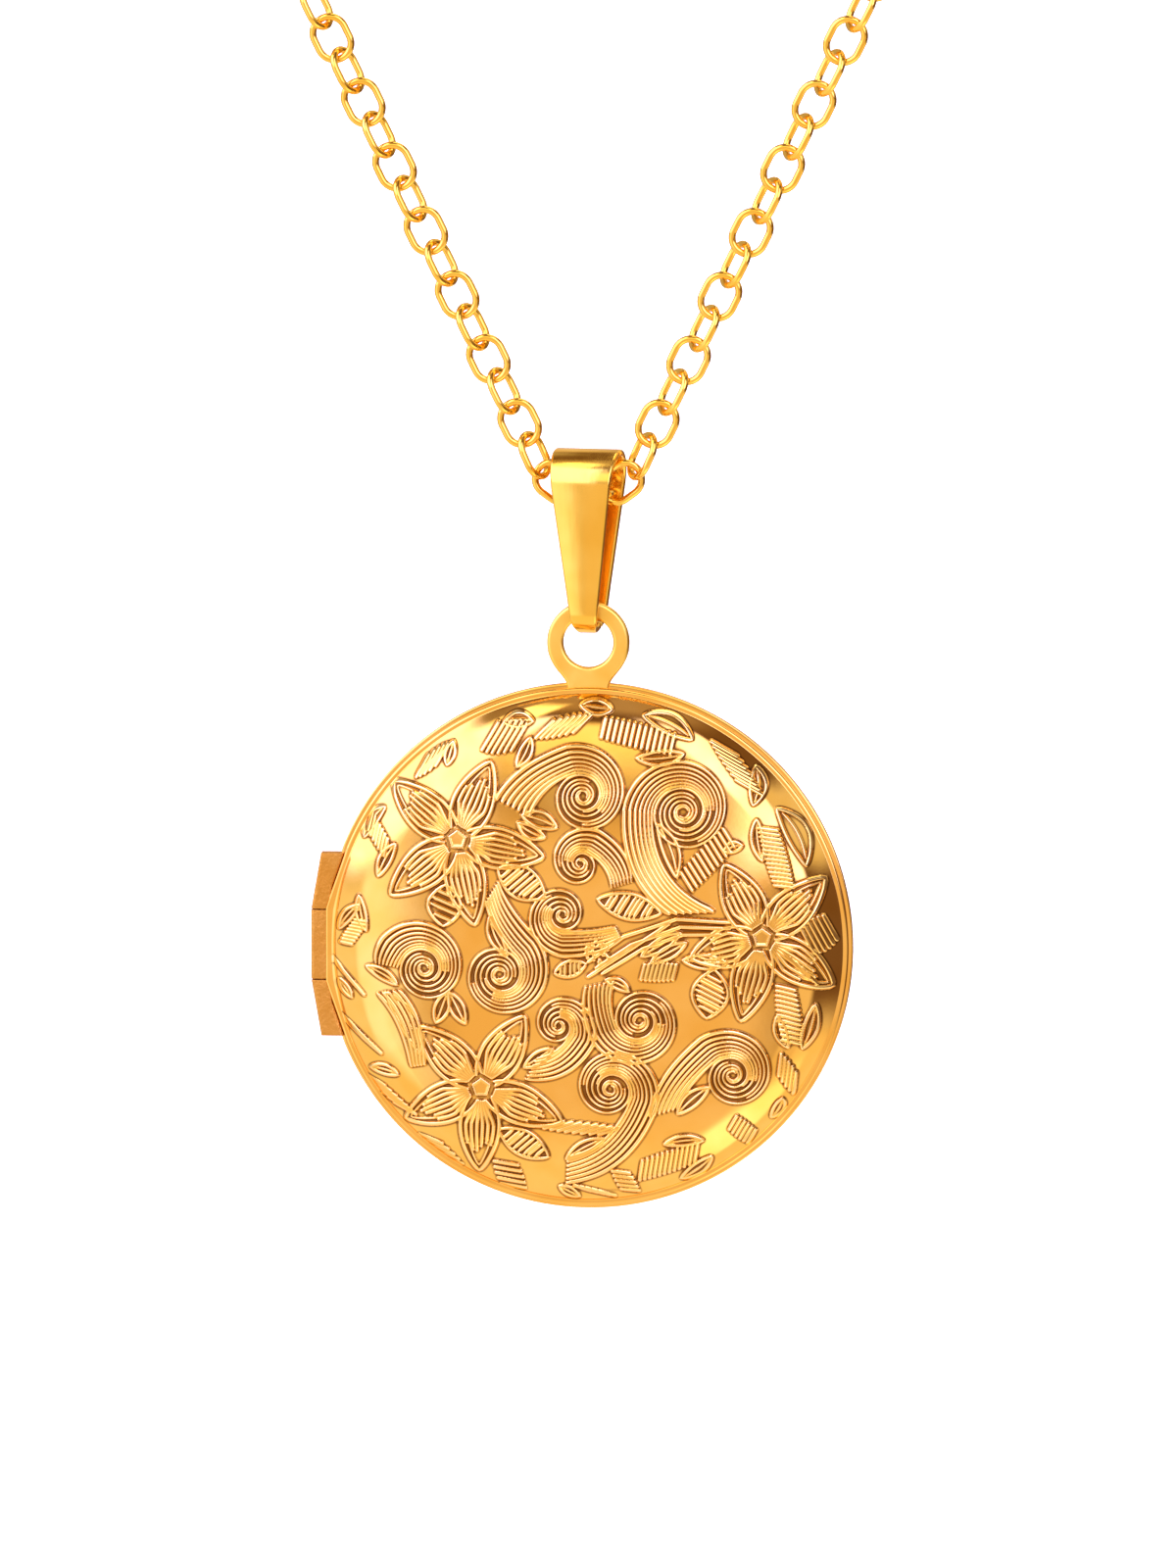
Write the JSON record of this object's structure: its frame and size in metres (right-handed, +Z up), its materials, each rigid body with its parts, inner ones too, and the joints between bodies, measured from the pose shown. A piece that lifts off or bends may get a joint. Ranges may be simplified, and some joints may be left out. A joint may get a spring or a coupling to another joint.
{
  "type": "hinged round locket on a chain",
  "caption": "Round hinged photo locket with an engraved dome, hung by a folded bail on a fine cable chain with a spring ring clasp.",
  "frame": {"origin": "centre of the bail's eye, where the chain carries the pendant", "axes": "+X right, +Z up along the hanging direction, -Y out of the front cover"},
  "size_m": [0.0402, 0.0064, 0.0727],
  "materials": {
    "polished_gold": "mirror-polished gold plate",
    "satin_gold": "satin gold plate",
    "chain_gold": "bright gold plate",
    "hinge_gold": "matt gold plate with solder grain",
    "frame_gold": "bright gold plate",
    "photo_plate": "brushed",
    "clear_window": "clear acetate",
    "spring_steel": "bright spring wire"
  },
  "bodies": {
    "chain": {"chain_centre_link": "chain_gold", "chain_links_left": "chain_gold", "chain_links_right": "chain_gold", "jump_ring_left": "chain_gold", "jump_ring_right": "chain_gold", "end_tag": "chain_gold", "clasp_ring": "chain_gold", "clasp_tail_eye": "chain_gold", "clasp_spring": "spring_steel"},
    "bolt": {"clasp_bolt": "chain_gold"},
    "bail": {"bail": "satin_gold"},
    "case_back": {"pendant_ring": "satin_gold", "back_shell": "polished_gold", "back_photo_plate": "photo_plate", "back_photo_window": "clear_window", "back_photo_frame": "frame_gold", "snap_catch": "frame_gold", "hinge_knuckle_upper": "hinge_gold", "hinge_knuckle_lower": "hinge_gold", "hinge_pin": "hinge_gold"},
    "cover": {"front_shell": "polished_gold", "front_photo_plate": "photo_plate", "front_photo_window": "clear_window", "front_photo_frame": "frame_gold", "hinge_knuckle_front": "hinge_gold"}
  },
  "joints": [
    {"name": "bail_swing", "type": "hinge", "parent": "chain", "child": "bail", "pos_m": [0, 0, 0], "axis": [0.9848, -0.1736, 0], "range_deg": [-75, 75]},
    {"name": "case_swing", "type": "hinge", "parent": "bail", "child": "case_back", "pos_m": [0, 0, -0.0063], "axis": [1, 0, 0], "range_deg": [-45, 45]},
    {"name": "cover_hinge", "type": "hinge", "parent": "case_back", "child": "cover", "pos_m": [-0.01355, 0, -0.02361], "axis": [0, 0, -1], "range_deg": [0, 150]},
    {"name": "bolt_turn", "type": "hinge", "parent": "chain", "child": "bolt", "pos_m": [-0.01774, 0, 0.03233], "axis": [0, -1, 0], "range_deg": [0, 48], "stiffness_Nm_per_rad": 0.0001, "deforming": ["clasp_spring"]}
  ]
}
